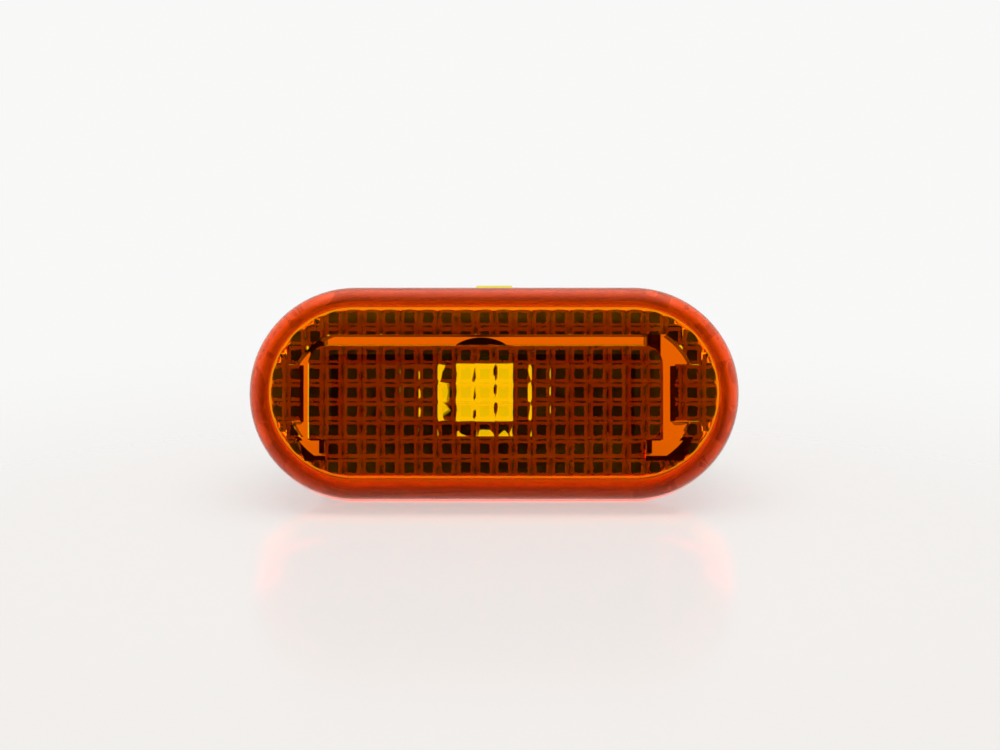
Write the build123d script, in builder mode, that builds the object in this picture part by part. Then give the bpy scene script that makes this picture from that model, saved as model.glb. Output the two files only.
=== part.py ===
"""Oval side turn signal lamp, sold without its bulb holder.

Millimetres. +X runs along the lamp, +Z is up and the lens faces -Y.
The origin is the centre of the lens outline on the body panel, where the
gasket's back face seats. Sizes in Y are distances in front of that plane
or behind it.
"""

import math
import os

from build123d import *

# Lens outline and section
lens_length = 78.0
lens_height = 34.2
lens_depth = 9.8  # back of the skirt to the crown
face_thickness = 2.2
crown_radius = 168.0
front_edge_radius = 3.6
skirt_draft = 4.0  # degrees
skirt_wall = 3.0  # at the skirt's back
seat_step = 0.6
cavity_draft = 1.0  # degrees

# Pillow optics on the inside of the face
pillow_pitch = 2.95
pillow_radius = 8.5
pillow_root = 0.3

# Moulding gate left on top of the skirt
gate_width = 5.8
gate_rise = 0.45
gate_thickness = 1.2
gate_root = 1.5

# Bulb chamber, placed by the room between it and the lens outline
hook_end_room = 10.0
spring_end_room = 12.7
height_room = 9.8  # above and below
chamber_corner = 2.9
chamber_wall = 1.3
chamber_end_wall = 2.2
chamber_depth = 20.4  # panel plane to the rear wall's inner face
chamber_draft = 0.4  # degrees
chamber_edge = 0.8
rear_wall = 1.6
nose_gap = 0.6  # between the chamber's front edge and the pillows

# Clear block of the lens over the chamber and round its ends
ring_clearance = 0.12  # to the chamber
ring_room = 1.8  # above the chamber
ring_end_room = 5.5  # beyond the chamber's right end
ring_end_radius = 11.0  # right end
ring_hook_radius = 10.4  # left end
ring_hook_drop = 0.7
ring_hook_inset = 9.8  # from the block's left end to the middle of its round
ring_flat = 8.8  # height of the squared part of each end

# Housing flange, in the lens's seat, and the openings around the chamber
flange_thickness = 1.6
flange_clearance = 0.15
opening_margin = 0.15  # past the clear block's outline, for the light that spreads behind it
slot_inset = 2.0  # from the chamber's ends to the slot above it
corner_inset = 2.7  # of the openings under the chamber's corners, from its ends
corner_margin = 0.6  # of the same openings, past the clear block's outline

# Gasket behind the flange
gasket_thickness = 2.0
gasket_inset = 0.3  # from the lens's seat, so the skirt's back edge stays clear
gasket_margin = 1.3  # from the clear block's outline to the gasket's opening, past the hook

# Bulb holder barrel, with a bayonet hole in its boss
socket_radius = 6.1
socket_rise = 1.4  # above the chamber's middle
socket_shift = 0.8  # from the chamber's middle towards the hook
notch_angles = (48, -48, 218)
notch_width = 2.8
notch_depth = 0.8
lug_gap = 0.1  # from the notches to the barrel's inside
barrel_wall = 1.0
barrel_front = 12.0
barrel_end_wall = 1.2
boss_length = 5.0
boss_edge = 0.4

# Rigid hook at the left end
panel_grip = 1.4  # panel plane to the faces that grip its back
hook_gap = 1.1  # chamber to the arm
hook_arm = 1.6
hook_width = 8.8
hook_reach = 1.2
hook_flat = 1.0
hook_back = 7.0
hook_lean = 1.0  # of the inner face, away from the chamber
hook_tip = 0.6

# Spring tongue at the right end
tongue_gap = 1.5
tongue_arm = 1.5
tongue_width = 8.6
tongue_reach = 1.9
tongue_crest = 5.0
tongue_back = 12.5
tongue_lean = 1.5  # of the inner face, away from the chamber
tongue_tip = 1.0
catch_start = 1.0

# Ribs that centre the chamber in the panel's cut-out
rib_height = 1.9
rib_width = 0.8
rib_inset = 1.7  # from the chamber's ends
rib_length = 9.0
rib_lead = 0.8

tolerance = 0.001  # for picking edges by their place

# Derived places
half_height = lens_height / 2
half_straight = (lens_length - lens_height) / 2
lens_back = -gasket_thickness
lens_front = lens_back - lens_depth
face_inside = lens_front + face_thickness
crown_edge = half_height - lens_depth * math.tan(math.radians(skirt_draft))
crown_sag = crown_radius - math.sqrt(crown_radius**2 - crown_edge**2)
seat_length = lens_length - 2 * skirt_wall
seat_height = lens_height - 2 * skirt_wall
cavity_length = seat_length - 2 * seat_step
cavity_height = seat_height - 2 * seat_step
flange_front = lens_back - flange_thickness
pillow_half_diagonal = pillow_pitch / math.sqrt(2)
pillow_rise = pillow_radius - math.sqrt(pillow_radius**2 - pillow_half_diagonal**2)
pillow_crest = face_inside + pillow_rise
chamber_left = -lens_length / 2 + hook_end_room
chamber_right = lens_length / 2 - spring_end_room
chamber_x = (chamber_left + chamber_right) / 2
chamber_length = chamber_right - chamber_left
chamber_height = lens_height - 2 * height_room
socket_x = chamber_x - socket_shift
chamber_front = pillow_crest + nose_gap
rear_face = chamber_depth + rear_wall
boss_back = rear_face + boss_length
lug_reach = socket_radius + notch_depth
barrel_radius = lug_reach + lug_gap
boss_radius = barrel_radius + barrel_wall
rib_back = lens_back + rib_length
ring_half_length = chamber_right + ring_end_room
ring_half_height = chamber_height / 2 + ring_room
pocket_half_height = chamber_height / 2 + ring_clearance
hook_inside = chamber_left - hook_gap
tongue_inside = chamber_right + tongue_gap
root = lens_back - flange_thickness / 2  # where the arms start, in the flange


def facing(y, x=0, z=0):
    """The plane across the lamp at y, looked at from the front, so it extrudes forwards."""
    return Plane(origin=(x, y, z), x_dir=(1, 0, 0), z_dir=(0, -1, 0))


def ring_outline(margin):
    """The outline of the lens's clear block, closed below the chamber and moved outwards by margin."""
    with BuildSketch() as outline:
        with Locations((ring_half_length - ring_end_radius, 0)):
            Circle(ring_end_radius + margin)
        with Locations((ring_hook_inset - ring_half_length, -ring_hook_drop)):
            Circle(ring_hook_radius + margin)
        Rectangle(2 * (ring_half_length - ring_end_radius), 2 * (ring_half_height + margin))
        Rectangle(
            2 * (ring_half_length + margin), 2 * (ring_half_height + margin), mode=Mode.INTERSECT
        )
        Rectangle(2 * (ring_half_length + margin), ring_flat + 2 * margin)
    return outline.sketch


# Lens: one clear amber moulding
with BuildPart() as pillow:
    with Locations((0, pillow_crest - pillow_radius, 0)):
        Sphere(pillow_radius)
    with Locations((0, pillow_crest - (pillow_rise + pillow_root) / 2, 0)):
        Box(pillow_pitch, pillow_rise + pillow_root, pillow_pitch, mode=Mode.INTERSECT)

columns = 2 * math.ceil(cavity_length / pillow_pitch / 2)
rows = 2 * math.ceil(cavity_height / pillow_pitch / 2 - 0.5) + 1
cells = [
    (pillow_pitch * (column - (columns - 1) / 2), 0, pillow_pitch * (row - (rows - 1) / 2))
    for column in range(columns)
    for row in range(rows)
]
with BuildPart() as optics:
    with Locations(*cells):
        add(pillow.part)
    with BuildSketch(facing(pillow_crest)):
        SlotOverall(cavity_length, cavity_height)
    extrude(amount=pillow_rise + pillow_root, mode=Mode.INTERSECT)

with BuildPart() as lens:
    with BuildSketch(Plane.YZ) as section:
        with BuildLine():
            crown_top = (lens_front + crown_sag, crown_edge)
            crown_foot = (lens_front + crown_sag, -crown_edge)
            ThreePointArc(crown_top, (lens_front, 0), crown_foot)
            Polyline(crown_foot, (lens_back, -half_height), (lens_back, half_height), crown_top)
        make_face()
        fillet(section.vertices().group_by(Axis.X)[0], front_edge_radius)
    extrude(amount=half_straight, both=True)
    for side in (-1, 1):
        with BuildSketch(Plane.YZ.offset(side * half_straight)):
            add(section.sketch_local)
            with Locations((0, -lens_height)):
                Rectangle(4 * lens_depth, 2 * lens_height, mode=Mode.SUBTRACT)
        revolve(axis=Axis((side * half_straight, 0, 0), (0, side, 0)), revolution_arc=180)
    with BuildSketch(facing(lens_back)):
        SlotOverall(seat_length, seat_height)
    extrude(amount=flange_thickness, mode=Mode.SUBTRACT)
    with BuildSketch(facing(flange_front)):
        SlotOverall(cavity_length, cavity_height)
    extrude(amount=flange_front - face_inside, taper=cavity_draft, mode=Mode.SUBTRACT)
    add(optics.part)
    with BuildSketch(facing(flange_front)):
        add(ring_outline(0))
        with Locations((chamber_x, 0)):
            RectangleRounded(
                chamber_length + 2 * ring_clearance,
                chamber_height + 2 * ring_clearance,
                chamber_corner + ring_clearance,
                mode=Mode.SUBTRACT,
            )
            Rectangle(
                chamber_length + 2 * ring_clearance,
                pocket_half_height,
                align=(Align.CENTER, Align.MAX),
                mode=Mode.SUBTRACT,
            )
        with Locations((0, -pocket_half_height)):
            Rectangle(
                lens_length,
                lens_height,
                align=(Align.CENTER, Align.MAX),
                mode=Mode.SUBTRACT,
            )
    extrude(amount=flange_front - face_inside)
    with Locations((0, lens_back, half_height + gate_rise)):
        Box(
            gate_width,
            gate_thickness,
            gate_rise + gate_root,
            align=(Align.CENTER, Align.MAX, Align.MAX),
        )

# Housing: one black moulding, with its flange, chamber, barrel, hook and tongue
with BuildPart() as housing:
    with BuildSketch(facing(lens_back)):
        SlotOverall(seat_length - 2 * flange_clearance, seat_height - 2 * flange_clearance)
    extrude(amount=flange_thickness)

    with BuildSketch(facing(lens_back, chamber_x)) as chamber_outline:
        RectangleRounded(chamber_length, chamber_height, chamber_corner)
    extrude(amount=lens_back - chamber_front)
    extrude(chamber_outline.sketch, amount=lens_back - rear_face, taper=chamber_draft)
    fillet(housing.faces().sort_by(Axis.Y)[-1].edges(), chamber_edge)

    with BuildSketch(facing(boss_back, socket_x, socket_rise)):
        Circle(boss_radius)
    extrude(amount=boss_back - barrel_front)
    fillet(housing.faces().sort_by(Axis.Y)[-1].edges(), boss_edge)

    with BuildSketch(facing(lens_back, chamber_x)):
        with GridLocations(chamber_length - 2 * rib_inset, chamber_height, 2, 2):
            Rectangle(rib_width, 2 * rib_height)
    extrude(amount=-rib_length)
    rib_leads = (
        housing.edges()
        .filter_by(Axis.X)
        .filter_by_position(Axis.Y, rib_back - tolerance, rib_back + tolerance)
    )
    chamfer([rib_leads.sort_by(Axis.Z)[n] for n in (0, 1, -2, -1)], rib_lead)

    with BuildSketch(facing(chamber_front, chamber_x)):
        RectangleRounded(
            chamber_length - 2 * chamber_end_wall,
            chamber_height - 2 * chamber_wall,
            chamber_corner - chamber_wall,
        )
    extrude(amount=chamber_front - chamber_depth, taper=chamber_draft, mode=Mode.SUBTRACT)

    with BuildSketch(facing(chamber_depth, socket_x, socket_rise)):
        Circle(barrel_radius)
    extrude(amount=chamber_depth - barrel_front - barrel_end_wall, mode=Mode.SUBTRACT)

    with BuildSketch(facing(boss_back, socket_x, socket_rise)):
        Circle(socket_radius)
        for angle in notch_angles:
            Rectangle(
                lug_reach,
                notch_width,
                rotation=angle,
                align=(Align.MIN, Align.CENTER),
            )
    extrude(amount=boss_back - chamber_depth, mode=Mode.SUBTRACT)

    with BuildSketch(facing(lens_back)):
        add(ring_outline(opening_margin))
        with Locations((chamber_x, 0)):
            Rectangle(chamber_length, lens_height, mode=Mode.SUBTRACT)
        with Locations((hook_inside, 0)):
            Rectangle(
                lens_length,
                hook_width,
                align=(Align.MAX, Align.CENTER),
                mode=Mode.SUBTRACT,
            )
        with Locations((tongue_inside, 0)):
            Rectangle(
                lens_length,
                tongue_width,
                align=(Align.MIN, Align.CENTER),
                mode=Mode.SUBTRACT,
            )
        with Locations((chamber_x, chamber_height / 2)):
            Rectangle(
                chamber_length - 2 * slot_inset,
                ring_room,
                align=(Align.CENTER, Align.MIN),
            )
    extrude(amount=flange_thickness, mode=Mode.SUBTRACT)

    with BuildSketch(facing(lens_back)):
        add(ring_outline(corner_margin))
        with Locations((0, -chamber_height / 2)):
            Rectangle(
                lens_length,
                lens_height,
                align=(Align.CENTER, Align.MAX),
                mode=Mode.INTERSECT,
            )
        with Locations((chamber_x, 0)):
            Rectangle(chamber_length - 2 * corner_inset, lens_height, mode=Mode.SUBTRACT)
    extrude(amount=flange_thickness, mode=Mode.SUBTRACT)

    with BuildSketch(Plane.XY):
        with BuildLine():
            Polyline(
                (hook_inside, root),
                (hook_inside - hook_arm, root),
                (hook_inside - hook_arm, panel_grip),
                (hook_inside - hook_arm - hook_reach, panel_grip),
                (hook_inside - hook_arm - hook_reach, panel_grip + hook_flat),
                (hook_inside - hook_lean - hook_tip, hook_back),
                (hook_inside - hook_lean, hook_back),
                close=True,
            )
        make_face()
    extrude(amount=hook_width / 2, both=True)

    with BuildSketch(Plane.XY):
        with BuildLine():
            Polyline(
                (tongue_inside, root),
                (tongue_inside + tongue_lean, tongue_back),
                (tongue_inside + tongue_lean + tongue_tip, tongue_back),
                (tongue_inside + tongue_arm + tongue_reach, tongue_crest),
                (tongue_inside + tongue_arm, catch_start),
                (tongue_inside + tongue_arm, root),
                close=True,
            )
        make_face()
    extrude(amount=tongue_width / 2, both=True)

# Gasket: a flat ring of closed-cell foam
with BuildPart() as gasket:
    with BuildSketch(facing(0)):
        SlotOverall(seat_length - 2 * gasket_inset, seat_height - 2 * gasket_inset)
        add(ring_outline(gasket_margin), mode=Mode.SUBTRACT)
    extrude(amount=gasket_thickness)

os.makedirs("parts", exist_ok=True)
lens.part.label = "lens"
export_step(lens.part, "parts/lens.step")
housing.part.label = "housing"
export_step(housing.part, "parts/housing.step")
gasket.part.label = "gasket"
export_step(gasket.part, "parts/gasket.step")
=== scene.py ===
import math

import bmesh
import bpy
from mathutils import Matrix, Vector


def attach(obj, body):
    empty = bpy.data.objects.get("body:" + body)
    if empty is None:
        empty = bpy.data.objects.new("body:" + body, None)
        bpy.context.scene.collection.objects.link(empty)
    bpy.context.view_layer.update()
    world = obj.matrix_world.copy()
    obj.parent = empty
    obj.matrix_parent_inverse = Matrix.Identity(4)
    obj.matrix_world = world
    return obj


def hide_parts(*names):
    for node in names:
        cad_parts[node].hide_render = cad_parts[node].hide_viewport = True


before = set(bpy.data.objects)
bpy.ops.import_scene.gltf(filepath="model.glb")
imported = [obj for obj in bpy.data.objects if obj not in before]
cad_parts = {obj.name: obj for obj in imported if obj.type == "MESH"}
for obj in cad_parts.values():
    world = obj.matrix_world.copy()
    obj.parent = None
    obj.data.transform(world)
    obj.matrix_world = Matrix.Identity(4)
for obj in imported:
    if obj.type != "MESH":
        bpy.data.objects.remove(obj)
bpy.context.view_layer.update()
print("frame loaded:", ", ".join(sorted(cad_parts)))

millimetre = 0.001  # shapes are made in millimetres and brought to metres at the end
mergeDistance = 0.0001  # in millimetres, for seams and poles


# Meshes
def meshObject(name, work):
    mesh = bpy.data.meshes.new(name)
    work.to_mesh(mesh)
    work.free()
    made = bpy.data.objects.new(name, mesh)
    bpy.context.scene.collection.objects.link(made)
    return made


def applyModifiers(piece):
    graph = bpy.context.evaluated_depsgraph_get()
    mesh = bpy.data.meshes.new_from_object(piece.evaluated_get(graph))
    old = piece.data
    piece.modifiers.clear()
    piece.data = mesh
    bpy.data.meshes.remove(old)


def combine(target, cutter, operation):
    step = target.modifiers.new("combine", "BOOLEAN")
    step.solver = "EXACT"
    step.operation = operation
    step.object = cutter
    applyModifiers(target)
    old = cutter.data
    bpy.data.objects.remove(cutter)
    bpy.data.meshes.remove(old)
    return target


def smoothShaded(piece, sharpAngle):
    piece.data.shade_smooth()
    piece.data.set_sharp_from_angle(angle=math.radians(sharpAngle))
    return piece


def closeUp(work):
    bmesh.ops.remove_doubles(work, verts=work.verts, dist=mergeDistance)
    bmesh.ops.recalc_face_normals(work, faces=work.faces)
    return work


def vertsOf(geometry):
    return [item for item in geometry if isinstance(item, bmesh.types.BMVert)]


def edgesOf(geometry):
    return [item for item in geometry if isinstance(item, bmesh.types.BMEdge)]


def roundEdges(work, edges, radius, segments):
    bmesh.ops.bevel(
        work,
        geom=edges,
        offset=radius,
        offset_type="OFFSET",
        segments=segments,
        profile=0.5,
        affect="EDGES",
        material=-1,
    )


# An oblong solid from half of its section, given as (y, distance from the middle)
def oblong(section, halfStraight, steps):
    work = bmesh.new()
    chain = [work.verts.new((0, y, reach)) for y, reach in section]
    edges = [work.edges.new(pair) for pair in zip(chain, chain[1:])]
    grown = bmesh.ops.extrude_edge_only(work, edges=edges)["geom"]
    bmesh.ops.translate(work, verts=vertsOf(grown), vec=(halfStraight, 0, 0))
    swept = bmesh.ops.spin(
        work,
        geom=vertsOf(grown) + [edge for edge in edgesOf(grown) if edge.is_boundary],
        cent=(halfStraight, 0, 0),
        axis=(0, 1, 0),
        angle=math.pi,
        steps=steps,
    )["geom_last"]
    grown = bmesh.ops.extrude_edge_only(work, edges=edgesOf(swept))["geom"]
    bmesh.ops.translate(work, verts=vertsOf(grown), vec=(-halfStraight, 0, 0))
    whole = work.verts[:] + work.edges[:] + work.faces[:]
    bmesh.ops.mirror(work, geom=whole, axis="X", merge_dist=mergeDistance)
    return closeUp(work)


# Moves what lies behind a depth outwards, or inwards where the draft is negative
def drafted(work, depth, draft):
    reach = [max(abs(vert.co[axis]) for vert in work.verts) for axis in (0, 2)]
    for vert in work.verts:
        if vert.co.y > depth:
            vert.co.x *= 1 + draft / reach[0]
            vert.co.z *= 1 + draft / reach[1]


# A box between two corners, with the edges that run along Y rounded and its back end wider by the draft
def block(low, high, corner=0, segments=8, draft=0):
    work = bmesh.new()
    made = bmesh.ops.create_cube(work, size=1)["verts"]
    size = Vector(high) - Vector(low)
    bmesh.ops.scale(work, verts=made, vec=size)
    bmesh.ops.translate(work, verts=made, vec=(Vector(low) + Vector(high)) / 2)
    if corner:
        along = [edge for edge in work.edges if abs(edge.verts[0].co.y - edge.verts[1].co.y) > size.y / 2]
        roundEdges(work, along, corner, segments)
    drafted(work, (low[1] + high[1]) / 2, draft)
    return work


# A prism along Y over an outline of (x, z) points
def prism(points, low, high, draft=0):
    work = bmesh.new()
    face = work.faces.new([work.verts.new((x, low, z)) for x, z in points])
    grown = bmesh.ops.extrude_face_region(work, geom=[face])["geom"]
    bmesh.ops.translate(work, verts=vertsOf(grown), vec=(0, high - low, 0))
    drafted(work, (low + high) / 2, draft)
    return closeUp(work)


# Points of a circle's arc from one height to another, on its left (-1) or right (1) side
def arcBetween(center, radius, side, start, end, steps):
    first, last = (math.asin((height - center[1]) / radius) for height in (start, end))
    turns = [first + (last - first) * step / steps for step in range(steps + 1)]
    return [(center[0] + side * radius * math.cos(turn), center[1] + radius * math.sin(turn)) for turn in turns]


# Materials
def addNode(tree, kind, inputs=None, **settings):
    node = tree.nodes.new(kind)
    for name, value in settings.items():
        setattr(node, name, value)
    for name, value in (inputs or {}).items():
        if isinstance(value, bpy.types.NodeSocket):
            tree.links.new(value, node.inputs[name])
        else:
            node.inputs[name].default_value = value
    return node


def newMaterial(name):
    material = bpy.data.materials.new(name)
    material.use_nodes = True
    material.node_tree.nodes.clear()
    return material, material.node_tree


def dress(piece, material):
    piece.data.materials.clear()
    piece.data.materials.append(material)


# Noise brought between two levels: the lens's waves, the frost's speckles, the plastic's grain and clouds
def noiseGroup():
    group = bpy.data.node_groups.new("surfaceNoise", "ShaderNodeTree")
    group.interface.new_socket("Vector", in_out="INPUT", socket_type="NodeSocketVector")
    for name in ("Scale", "Detail", "From Min", "From Max", "To Min", "To Max"):
        group.interface.new_socket(name, in_out="INPUT", socket_type="NodeSocketFloat")
    group.interface.new_socket("Value", in_out="OUTPUT", socket_type="NodeSocketFloat")
    given = addNode(group, "NodeGroupInput").outputs
    noise = addNode(group, "ShaderNodeTexNoise", {name: given[name] for name in ("Vector", "Scale", "Detail")})
    limits = {name: given[name] for name in ("From Min", "From Max", "To Min", "To Max")}
    level = addNode(group, "ShaderNodeMapRange", {"Value": noise.outputs["Fac"], **limits})
    addNode(group, "NodeGroupOutput", {"Value": level.outputs["Result"]})
    return group


surfaceNoise = noiseGroup()


def addNoise(tree, place, scale, detail, span=(0.0, 1.0), levels=(0.0, 1.0)):
    inputs = {"Vector": place, "Scale": scale, "Detail": detail}
    inputs |= {"From Min": span[0], "From Max": span[1], "To Min": levels[0], "To Max": levels[1]}
    return addNode(tree, "ShaderNodeGroup", inputs, node_tree=surfaceNoise).outputs["Value"]


def addBump(tree, height, strength, distance):
    inputs = {"Height": height, "Strength": strength, "Distance": distance}
    return addNode(tree, "ShaderNodeBump", inputs).outputs["Normal"]


def addVectorMath(tree, operation, *vectors):
    return addNode(tree, "ShaderNodeVectorMath", dict(enumerate(vectors)), operation=operation).outputs


# Lens
lensValues = {
    "length": 78.0,
    "height": 34.2,
    "depth": 9.8,
    "back": -2.0,  # where its back edge lies along Y
    "crownRadius": 168.0,
    "crownSteps": 9,
    "crownEnd": 1.1,  # how far from the edge the crown's last line lies, in parts of the edge's radius
    "edgeRadius": 3.6,
    "edgeBevel": 0.98,  # in parts of the edge's radius
    "edgeSegments": 10,
    "skirtDraft": 4.0,  # degrees
    "skirtWall": 3.0,
    "seatDepth": 1.6,
    "seatStep": 0.6,
    "faceThickness": 2.2,
    "cavityDraft": 1.0,  # degrees
    "cavityFillet": 1.0,
    "filletSteps": 9,
    "arcSteps": 56,
    "sharpAngle": 32,
    "pillows": {
        "pitch": 2.95,
        "radius": 8.5,
        "groove": 0.13,
        "grooveStart": 0.44,  # in parts of the pitch from a pillow's middle
        "grooveLevel": (0.55, 0.45),  # its middle depth and how much that changes, in parts of the groove
        "grooveChange": (5.1, 2.3),  # how fast it changes along X and Z
        "stops": (-0.5, -0.44, -0.25, 0, 0.25, 0.44, 0.5),  # places of the mesh lines in one cell
    },
    "clearBlock": {
        "halfLength": 31.8,
        "top": 9.1,
        "bottom": -7.42,
        "flat": 4.4,  # half height of the squared part of each end
        "left": ((-22.0, -0.7), 10.4),  # middle and radius
        "right": ((20.8, 0.0), 11.0),
        "arcSteps": 14,
        "front": 0.9,  # how far it reaches into the face
        "draft": 0.3,
        "pocketLow": (-29.12, -20.0),
        "pocketHigh": (26.42, 7.42),
        "pocketCorner": 3.02,
        "hookWindow": -30.4,
        "tongueWindow": 28.3,
        "footLength": 2.7,
        "footEnd": 31.2,
        "footLow": -10.7,
        "footTaper": 1.6,
        "footLap": (0.08, 0.42),  # how far a foot goes into the block, along X and Z
    },
    "gate": {"width": 5.8, "thickness": 0.8, "rise": 0.3, "root": 1.5, "corner": 0.25, "segments": 3},
    "look": {
        "ior": 1.49,
        "color": (1, 0.985, 0.95, 1),
        "roughness": 0.012,
        "reflectColor": (1, 0.17, 0.06, 1),
        "absorbColor": (0.9965, 0.915, 0.02, 1),
        "absorbDensity": 3000,
        "waveScale": 380,
        "waveDetail": 1,
        "waveStrength": 0.05,
        "waveHeight": 0.0002,
        "frostInner": (0.28, 0.46, 0.24, 1),
        # the paler outer colour of the frost is a painted highlight for the rim's bright outer band
        "frostHighlightColor": (0.66, 0.98, 0.55, 1),
        "frostHighlightEdge": (13.62, 13.88),  # where the step's dull inner part turns into its paler outer edge, a painted highlight
        "frostRoughness": 0.8,
        "frostScale": 600,
        "frostDetail": 3,
        "frostSpan": (0.3, 0.7),
        "frostLevels": (0.8, 1.0),
    },
}


def lensBody(sizes):
    halfHeight = sizes["height"] / 2
    front = sizes["back"] - sizes["depth"]
    edge = halfHeight - sizes["depth"] * math.tan(math.radians(sizes["skirtDraft"]))
    crown, steps = sizes["crownRadius"], sizes["crownSteps"]
    last = edge - sizes["crownEnd"] * sizes["edgeRadius"]
    reaches = [step * last / steps for step in range(steps + 1)]
    section = [(front + crown - math.sqrt(crown**2 - reach**2), reach) for reach in reaches + [edge]]
    section += [(sizes["back"], halfHeight), (sizes["back"], 0)]
    work = oblong(section, (sizes["length"] - sizes["height"]) / 2, sizes["arcSteps"])
    rim = section[len(reaches)][0]
    corner = [line for line in work.edges if all(abs(vert.co.y - rim) < 0.001 for vert in line.verts)]
    roundEdges(work, corner, sizes["edgeRadius"] * sizes["edgeBevel"], sizes["edgeSegments"])
    return closeUp(work)


# Air behind the face, with the pillows as its front
def pillowAir(sizes, back):
    pillows = sizes["pillows"]
    pitch, radius, stops = pillows["pitch"], pillows["radius"], pillows["stops"]
    perCell = len(stops) - 1
    columns = 2 * math.ceil(sizes["length"] / pitch / 2)
    rows = 2 * math.ceil(sizes["height"] / pitch / 2) + 1
    inside = sizes["back"] - sizes["depth"] + sizes["faceThickness"]
    crest = inside + radius - math.sqrt(radius**2 - pitch**2 / 2)
    middle, change = pillows["grooveLevel"]
    overX, overZ = pillows["grooveChange"]

    def placed(value, cells):
        line = round((value + 0.5) * cells * perCell)
        return (line // perCell + stops[line % perCell] + 0.5 - cells / 2) * pitch

    work = bmesh.new()
    bmesh.ops.create_grid(work, x_segments=columns * perCell, y_segments=rows * perCell, size=0.5)
    for vert in work.verts:
        x, z = placed(vert.co.x, columns), placed(vert.co.y, rows)
        offX = (x / pitch) % 1 - 0.5
        offZ = (z / pitch + 0.5) % 1 - 0.5
        sag = radius - math.sqrt(radius**2 - (offX * pitch) ** 2 - (offZ * pitch) ** 2)
        groove = max(0, abs(offX) - pillows["grooveStart"]) / (0.5 - pillows["grooveStart"])
        groove *= pillows["groove"] * (1 - (2 * abs(offZ)) ** 2)
        groove *= middle + change * math.sin(overX * x + overZ * z)
        vert.co = (x, crest - sag - groove, z)
    grown = bmesh.ops.extrude_face_region(work, geom=work.faces[:])["geom"]
    for vert in vertsOf(grown):
        vert.co.y = back
    bmesh.ops.recalc_face_normals(work, faces=work.faces)
    return work


# The clear amber that goes back over the bulb chamber and round its ends
def clearBlock(sizes, front, back):
    top, bottom, flat, end = sizes["top"], sizes["bottom"], sizes["flat"], sizes["halfLength"]
    steps, draft = sizes["arcSteps"], -sizes["draft"]
    outline = arcBetween(*sizes["right"], 1, top, flat, steps) + [(end, flat), (end, -flat)]
    outline += arcBetween(*sizes["right"], 1, -flat, bottom, steps)
    outline += arcBetween(*sizes["left"], -1, bottom, -flat, steps) + [(-end, -flat), (-end, flat)]
    outline += arcBetween(*sizes["left"], -1, flat, top, steps)
    solid = meshObject("clearBlock", prism(outline, front, back, draft))
    for name, far in (("hookWindow", -2 * end), ("tongueWindow", 2 * end)):
        low, high = sorted((far, sizes[name]))
        combine(solid, meshObject(name, block((low, front - 1, -flat), (high, back + 1, flat))), "DIFFERENCE")
    (left, low), (right, high) = sizes["pocketLow"], sizes["pocketHigh"]
    pocket = block((left, front - 1, low), (right, back + 1, high), sizes["pocketCorner"])
    combine(solid, meshObject("pocket", pocket), "DIFFERENCE")
    lapX, lapZ = sizes["footLap"]
    for side, inner in ((-1, left), (1, right)):
        tip, foot = sizes["footEnd"] * side, inner - sizes["footLength"] * side
        points = [(tip, bottom + lapZ), (inner + lapX * side, bottom + lapZ), (inner + lapX * side, bottom)]
        points += [(foot, bottom), (foot, sizes["footLow"]), (tip - sizes["footTaper"] * side, sizes["footLow"])]
        combine(solid, meshObject("foot", prism(points, front, back, draft)), "UNION")
    return solid


def buildLens(sizes):
    halfStraight, steps = (sizes["length"] - sizes["height"]) / 2, sizes["arcSteps"]
    inside = sizes["back"] - sizes["depth"] + sizes["faceThickness"]
    seatFront = sizes["back"] - sizes["seatDepth"]
    seatReach = sizes["height"] / 2 - sizes["skirtWall"]
    cavityReach = seatReach - sizes["seatStep"]
    narrowed = cavityReach - (seatFront - inside + 1) * math.tan(math.radians(sizes["cavityDraft"]))

    lens, gate = meshObject("amberLens", lensBody(sizes)), sizes["gate"]
    top = sizes["height"] / 2 + gate["rise"]
    low = (-gate["width"] / 2, sizes["back"] - gate["thickness"], top - gate["rise"] - gate["root"])
    tab = block(low, (gate["width"] / 2, sizes["back"], top), gate["corner"], gate["segments"])
    combine(lens, meshObject("gate", tab), "UNION")

    air = meshObject("air", pillowAir(sizes, seatFront + 0.2))
    fillet = sizes["cavityFillet"]
    turns = [math.radians(90 - 90 / sizes["filletSteps"] * step) for step in range(sizes["filletSteps"] + 1)]
    cavity = [(inside - 1, 0), (inside - 1, narrowed - fillet)]
    cavity += [
        (inside + fillet * (1 - math.sin(turn)), narrowed - fillet * (1 - math.cos(turn))) for turn in turns
    ]
    cavity += [(seatFront + 0.3, cavityReach), (seatFront + 0.3, 0)]
    combine(air, meshObject("cavity", oblong(cavity, halfStraight, steps)), "INTERSECT")
    solid = clearBlock(sizes["clearBlock"], inside - sizes["clearBlock"]["front"], seatFront + 0.1)
    combine(air, solid, "DIFFERENCE")
    seat = [(seatFront, 0), (seatFront, seatReach), (sizes["back"] + 1, seatReach), (sizes["back"] + 1, 0)]
    combine(air, meshObject("seat", oblong(seat, halfStraight, steps)), "UNION")
    combine(lens, air, "DIFFERENCE")

    lens.data.materials.append(None)  # amber
    lens.data.materials.append(None)  # frost
    for face in lens.data.polygons:
        reach = math.hypot(max(abs(face.center.x) - halfStraight, 0), face.center.z)
        onStep = abs(face.center.y - seatFront) < 0.05 and cavityReach - 0.1 < reach < seatReach + 0.1
        face.material_index = 1 if onStep else 0
    lens.data.transform(Matrix.Scale(millimetre, 4))
    return smoothShaded(lens, sizes["sharpAngle"])


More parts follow.
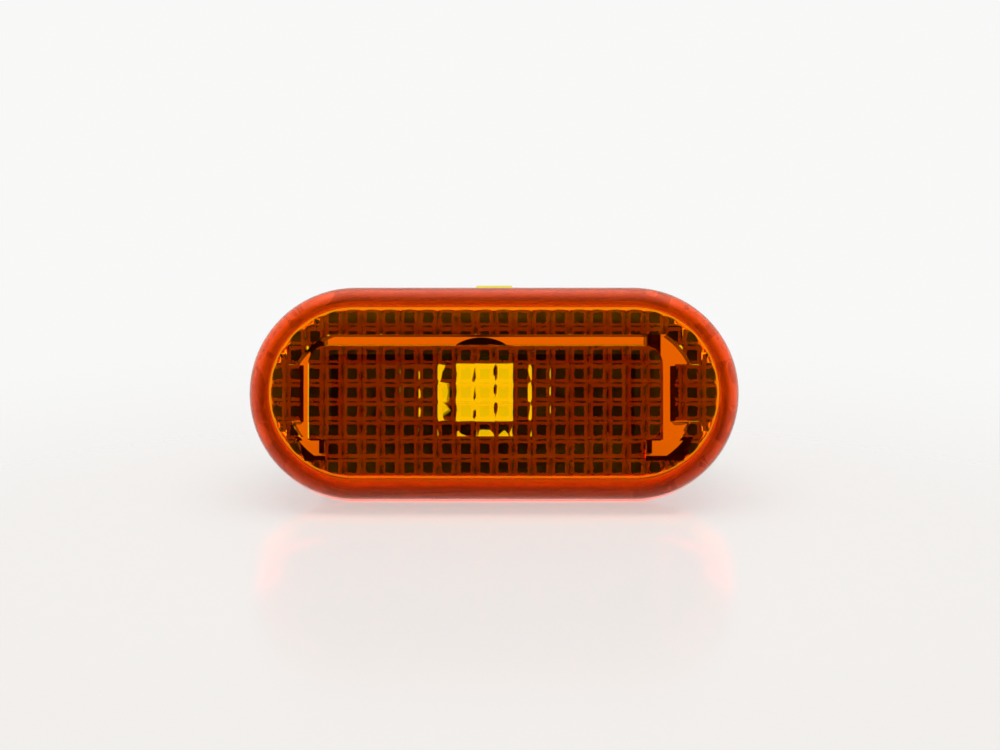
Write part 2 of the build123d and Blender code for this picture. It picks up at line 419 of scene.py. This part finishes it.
def amberMaterial(values):
    material, tree = newMaterial("amberAcrylic")
    place = addNode(tree, "ShaderNodeTexCoord").outputs["Object"]
    wave = addNoise(tree, place, values["waveScale"], values["waveDetail"])
    glass = addNode(
        tree,
        "ShaderNodeBsdfPrincipled",
        {
            "Base Color": values["color"],
            "Roughness": values["roughness"],
            "IOR": values["ior"],
            "Specular Tint": values["reflectColor"],
            "Transmission Weight": 1,
            "Normal": addBump(tree, wave, values["waveStrength"], values["waveHeight"]),
        },
    )
    tint = addNode(
        tree, "ShaderNodeVolumeAbsorption", {"Color": values["absorbColor"], "Density": values["absorbDensity"]}
    )
    addNode(
        tree, "ShaderNodeOutputMaterial", {"Surface": glass.outputs["BSDF"], "Volume": tint.outputs["Volume"]}
    )
    return material


# The step that the housing is welded to is frosted, and paler towards its outer edge: a painted highlight for the
# rim's bright outer band
def frostMaterial(values, halfStraight):
    material, tree = newMaterial("weldFrostAndPaintedHighlight")
    place = addNode(tree, "ShaderNodeTexCoord").outputs["Object"]
    beyond = addVectorMath(tree, "ABSOLUTE", place)["Vector"]
    beyond = addVectorMath(tree, "SUBTRACT", beyond, (halfStraight * millimetre, 1, 0))["Vector"]
    beyond = addVectorMath(tree, "MAXIMUM", beyond, (0, 0, 0))["Vector"]
    reach = addVectorMath(tree, "LENGTH", beyond)["Value"]
    inner, outer = (edge * millimetre for edge in values["frostHighlightEdge"])
    # painted highlight: the frost turns paler towards the step's outer edge
    paintedHighlight = addNode(tree, "ShaderNodeMapRange", {"Value": reach, "From Min": inner, "From Max": outer})
    speckle = addNoise(
        tree, place, values["frostScale"], values["frostDetail"], values["frostSpan"], values["frostLevels"]
    )
    fill = addNode(tree, "ShaderNodeMath", {0: paintedHighlight.outputs["Result"], 1: speckle}, operation="MULTIPLY")
    shade = addNode(tree, "ShaderNodeValToRGB", {"Fac": fill.outputs["Value"]})
    shade.color_ramp.elements[0].color = values["frostInner"]
    shade.color_ramp.elements[1].color = values["frostHighlightColor"]
    inputs = {"Base Color": shade.outputs["Color"], "Roughness": values["frostRoughness"]}
    shader = addNode(tree, "ShaderNodeBsdfPrincipled", inputs)
    addNode(tree, "ShaderNodeOutputMaterial", {"Surface": shader.outputs["BSDF"]})
    return material


lens = buildLens(lensValues)
lens.data.materials[0] = amberMaterial(lensValues["look"])
lens.data.materials[1] = frostMaterial(lensValues["look"], (lensValues["length"] - lensValues["height"]) / 2)
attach(lens, "root")
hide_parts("lens")
print("lens made:", len(lens.data.polygons), "faces")


# Housing and gasket: the CAD shapes with their edges softened
def softenedCopy(node, name, values, cut=None):
    work = bmesh.new()
    work.from_mesh(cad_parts[node].data)
    bmesh.ops.remove_doubles(work, verts=work.verts, dist=mergeDistance * millimetre * 10)
    flat = math.radians(values["flatAngle"])
    bmesh.ops.dissolve_limit(work, angle_limit=flat, verts=work.verts, edges=work.edges)
    piece = meshObject(name, work)
    if cut:
        cut.data.transform(Matrix.Scale(millimetre, 4))
        combine(piece, cut, "DIFFERENCE")
    edge = piece.modifiers.new("softEdges", "BEVEL")
    edge.width = values["edge"] * millimetre
    edge.segments = values["segments"]
    edge.limit_method = "ANGLE"
    edge.angle_limit = math.radians(values["edgeAngle"])
    edge.use_clamp_overlap = True
    applyModifiers(piece)
    return smoothShaded(piece, values["sharpAngle"])


housingValues = {
    "edge": 0.14,
    "segments": 2,
    "flatAngle": 1.5,
    "edgeAngle": 35,
    "sharpAngle": 38,
    "mouth": ((-26.4, -9.2, -6.8), (23.7, 5.0, 5.6)),  # two corners of the cut that thins the chamber's lower wall
    "mouthDraft": 1.05,
    "color": (0.010, 0.009, 0.009, 1),
    "specular": 0.14,
    "roughness": (0.14, 0.30),
    "cloudScale": 90,
    "cloudDetail": 4,
    "grainScale": 5200,
    "grainDetail": 3,
    "grainStrength": 0.08,
    "grainHeight": 0.00003,
}
gasketValues = {
    "edge": 0.25,
    "segments": 3,
    "flatAngle": 1.5,
    "edgeAngle": 35,
    "sharpAngle": 38,
    "color": (0.022, 0.022, 0.023, 1),
    "roughness": 0.88,
    "cellScale": 2600,
    "cellStrength": 0.6,
    "cellHeight": 0.00015,
}


def plasticMaterial(values):
    material, tree = newMaterial("blackPlastic")
    place = addNode(tree, "ShaderNodeTexCoord").outputs["Object"]
    cloud = addNoise(tree, place, values["cloudScale"], values["cloudDetail"], levels=values["roughness"])
    grain = addNoise(tree, place, values["grainScale"], values["grainDetail"])
    shader = addNode(
        tree,
        "ShaderNodeBsdfPrincipled",
        {
            "Base Color": values["color"],
            "Roughness": cloud,
            "Specular IOR Level": values["specular"],
            "Normal": addBump(tree, grain, values["grainStrength"], values["grainHeight"]),
        },
    )
    addNode(tree, "ShaderNodeOutputMaterial", {"Surface": shader.outputs["BSDF"]})
    return material


def foamMaterial(values):
    material, tree = newMaterial("closedCellFoam")
    place = addNode(tree, "ShaderNodeTexCoord").outputs["Object"]
    cells = addNode(tree, "ShaderNodeTexVoronoi", {"Vector": place, "Scale": values["cellScale"]})
    normal = addBump(tree, cells.outputs["Distance"], values["cellStrength"], values["cellHeight"])
    inputs = {"Base Color": values["color"], "Roughness": values["roughness"], "Normal": normal}
    shader = addNode(tree, "ShaderNodeBsdfPrincipled", inputs)
    addNode(tree, "ShaderNodeOutputMaterial", {"Surface": shader.outputs["BSDF"]})
    return material


mouth = meshObject("mouth", block(*housingValues["mouth"], draft=-housingValues["mouthDraft"]))
housing = softenedCopy("housing", "blackHousing", housingValues, mouth)
dress(housing, plasticMaterial(housingValues))
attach(housing, "root")
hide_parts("housing")
print("housing made:", len(housing.data.polygons), "faces")

gasket = softenedCopy("gasket", "foamGasket", gasketValues)
dress(gasket, foamMaterial(gasketValues))
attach(gasket, "root")
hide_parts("gasket")
print("gasket made:", len(gasket.data.polygons), "faces")

# Floor: a plane under the skirt's lower edge and the barrel, so the lamp leans back on it
floorValues = {
    "skirtEdge": (0, -2.0, -17.1),
    "barrelEdge": (0, 27.0, -6.6),
    "size": 0.9,
    "color": (0.90, 0.845, 0.805, 1),
    "roughness": 0.2,
    "alpha": 0.5,
    "fadePlace": (0, 0.585, 0),  # the floor fades into the backdrop with the distance from this spot
    "fadeScale": (4.5, 4.5, 0.2),
    "fadeEnd": 0.4,
}


def buildFloor(values):
    foot = Vector(values["skirtEdge"]) * millimetre
    run = Vector(values["barrelEdge"]) * millimetre - foot
    tilt = math.atan2(run.z, run.y)
    work = bmesh.new()
    bmesh.ops.create_grid(work, x_segments=1, y_segments=1, size=values["size"] / 2)
    stand = Matrix.Translation(foot) @ Matrix.Rotation(tilt, 4, "X")
    bmesh.ops.transform(work, matrix=stand, verts=work.verts)
    floor = meshObject("floor", work)
    material, tree = newMaterial("paleFloor")
    place = addNode(tree, "ShaderNodeTexCoord").outputs["Object"]
    inputs = {"Vector": place, "Location": values["fadePlace"], "Scale": values["fadeScale"]}
    spot = addNode(tree, "ShaderNodeMapping", inputs)
    fade = addNode(tree, "ShaderNodeTexGradient", {"Vector": spot.outputs["Vector"]}, gradient_type="SPHERICAL")
    inputs = {"Value": fade.outputs["Fac"], "From Max": values["fadeEnd"], "To Max": values["alpha"]}
    alpha = addNode(tree, "ShaderNodeMapRange", inputs, interpolation_type="SMOOTHSTEP")
    inputs = {"Base Color": values["color"], "Roughness": values["roughness"], "Alpha": alpha.outputs["Result"]}
    shader = addNode(tree, "ShaderNodeBsdfPrincipled", inputs)
    addNode(tree, "ShaderNodeOutputMaterial", {"Surface": shader.outputs["BSDF"]})
    dress(floor, material)
    return floor


buildFloor(floorValues)
print("floor made")

# Lamps: a soft box above, and a small warm one for the light that the lens throws under its skirt
lampValues = {
    "topBox": {
        "place": (0.0, -0.16, 0.48),
        "aim": (0, 0, 0),
        "size": (0.60, 0.40),
        "radiance": 1.8,
        "color": (1, 1, 1),
    },
    "underGlow": {
        "place": (0.0, -0.0095, -0.0174),
        "aim": (0, -0.0125, -0.03),
        "size": (0.060, 0.003),
        "radiance": 0.9,
        "color": (1.0, 0.42, 0.22),
    },
}


def addSoftBox(name, values):
    light = bpy.data.lights.new(name, "AREA")
    light.shape = "RECTANGLE"
    light.size, light.size_y = values["size"]
    light.energy = values["radiance"] * math.pi * light.size * light.size_y
    light.color = values["color"]
    lamp = bpy.data.objects.new(name, light)
    lamp.location = values["place"]
    lamp.rotation_euler = (Vector(values["aim"]) - Vector(values["place"])).to_track_quat("-Z", "Z").to_euler()
    lamp.visible_camera = False
    lamp.visible_glossy = False
    bpy.context.scene.collection.objects.link(lamp)


for name, values in lampValues.items():
    addSoftBox(name, values)

# World: white for the camera, plain for matt surfaces, and studio panels for what shows in and through the lens
worldValues = {
    "white": 0.94,
    "whiteColor": (1, 1, 0.993, 1),
    "plain": 0.55,
    "plainColor": (1, 1, 0.995, 1),
    "front": 0.05,
    "behind": 0.93,
    "behindFrom": (-0.35, 0.0),  # from where to where along Y the front turns into the back
    "panel": 5.0,  # a frame round the camera, with a dark opening in it
    "panelShown": 0.7,
    "panelOpening": (0.30, 0.29),  # half width and half height, as tangents
    "panelRise": 0.05,
    "panelEnd": (0.75, 0.68),
    "panelSoftness": (0.95, 1.05),
    "panelFade": 1.2,
    "dome": 3.0,  # beside, above and a little below the lamp
    "domeBack": (0.0, 0.15),
    "domeFront": (0.70, 0.78),
    "domeRise": (-0.4, -0.1),
    "domeTop": 6.0,
    "domeTopRise": (0.45, 0.8),
    "overhead": 1.2,
    "overheadRise": (0.80, 0.92),
}


def buildWorld(values):
    world = bpy.data.worlds.new("studio")
    world.use_nodes = True
    tree = world.node_tree
    tree.nodes.clear()
    way = addNode(tree, "ShaderNodeSeparateXYZ", {0: addNode(tree, "ShaderNodeTexCoord").outputs["Generated"]})
    x, y, z = (way.outputs[axis] for axis in "XYZ")

    def maths(operation, first, second=0.0):
        return addNode(tree, "ShaderNodeMath", {0: first, 1: second}, operation=operation).outputs["Value"]

    def ramp(value, span, levels=(0.0, 1.0)):
        inputs = {"Value": value, "From Min": span[0], "From Max": span[1]}
        inputs |= {"To Min": levels[0], "To Max": levels[1]}
        return addNode(tree, "ShaderNodeMapRange", inputs, interpolation_type="SMOOTHSTEP").outputs["Result"]

    def background(color, strength):
        return addNode(tree, "ShaderNodeBackground", {"Color": color, "Strength": strength}).outputs["Background"]

    facing = maths("MULTIPLY", y, -1)
    ahead = maths("MAXIMUM", facing, 0.001)
    aside = maths("ABSOLUTE", maths("DIVIDE", x, ahead))
    above = maths("ABSOLUTE", maths("SUBTRACT", maths("DIVIDE", z, ahead), values["panelRise"]))
    outside, within = [], []
    for offset, opening, end in zip((aside, above), values["panelOpening"], values["panelEnd"]):
        outside.append(ramp(offset, [opening * part for part in values["panelSoftness"]]))
        within.append(ramp(offset, (end, end * values["panelFade"]), (1, 0)))
    panel = maths("MULTIPLY", maths("MAXIMUM", *outside), maths("MULTIPLY", *within))

    dome = maths("MULTIPLY", ramp(facing, values["domeFront"], (1, 0)), ramp(facing, values["domeBack"]))
    level = maths("MULTIPLY", ramp(z, values["domeRise"]), values["dome"])
    level = maths("ADD", level, ramp(z, values["domeTopRise"], (0, values["domeTop"])))
    through = maths("ADD", maths("MULTIPLY", panel, values["panel"]), maths("MULTIPLY", dome, level))
    overhead = ramp(z, values["overheadRise"], (0, values["overhead"]))
    shown = maths("ADD", maths("MULTIPLY", panel, values["panelShown"]), overhead)

    ray = addNode(tree, "ShaderNodeLightPath").outputs
    clear = ray["Is Transmission Ray"]
    level = addNode(tree, "ShaderNodeMix", {0: clear, 2: shown, 3: through}).outputs[0]
    level = maths("ADD", level, ramp(y, values["behindFrom"], (values["front"], values["behind"])))
    plain = background(values["plainColor"], values["plain"])
    around = background(values["plainColor"], level)
    backdrop = background(values["whiteColor"], values["white"])
    mirrored = maths("MAXIMUM", ray["Is Glossy Ray"], clear)
    mix = addNode(tree, "ShaderNodeMixShader", {0: mirrored, 1: plain, 2: around}).outputs["Shader"]
    mix = addNode(tree, "ShaderNodeMixShader", {0: ray["Is Camera Ray"], 1: mix, 2: backdrop}).outputs["Shader"]
    addNode(tree, "ShaderNodeOutputWorld", {"Surface": mix})
    return world


scene = bpy.context.scene
scene.world = buildWorld(worldValues)
print("light made")

# Camera: a little below the lamp's own axis
cameraValues = {
    "lens": 85,
    "distance": 0.3778,  # in metres
    "rise": -2.8,  # degrees
    "aim": (0, -2.0, 0),
    "offset": (0.92, 3.12),
    "near": 0.01,
}


def buildCamera(values):
    camera = bpy.data.objects.new("camera", bpy.data.cameras.new("camera"))
    camera.data.lens = values["lens"]
    camera.data.clip_start = values["near"]
    turn = Matrix.Rotation(math.radians(90 - values["rise"]), 4, "X")
    right, up, back = (turn.col[n].to_3d() for n in range(3))
    aside, above = values["offset"]
    place = Vector(values["aim"]) * millimetre + back * values["distance"]
    place += right * aside * millimetre + up * above * millimetre
    camera.matrix_world = Matrix.Translation(place) @ turn
    scene.collection.objects.link(camera)
    return camera


scene.camera = buildCamera(cameraValues)
scene.view_settings.view_transform = "Standard"
scene.cycles.max_bounces = 24  # light goes through many walls of the clear block
scene.cycles.glossy_bounces = 20
scene.cycles.transmission_bounces = 16
print("camera made")

bpy.context.view_layer.update()
print("scene made")
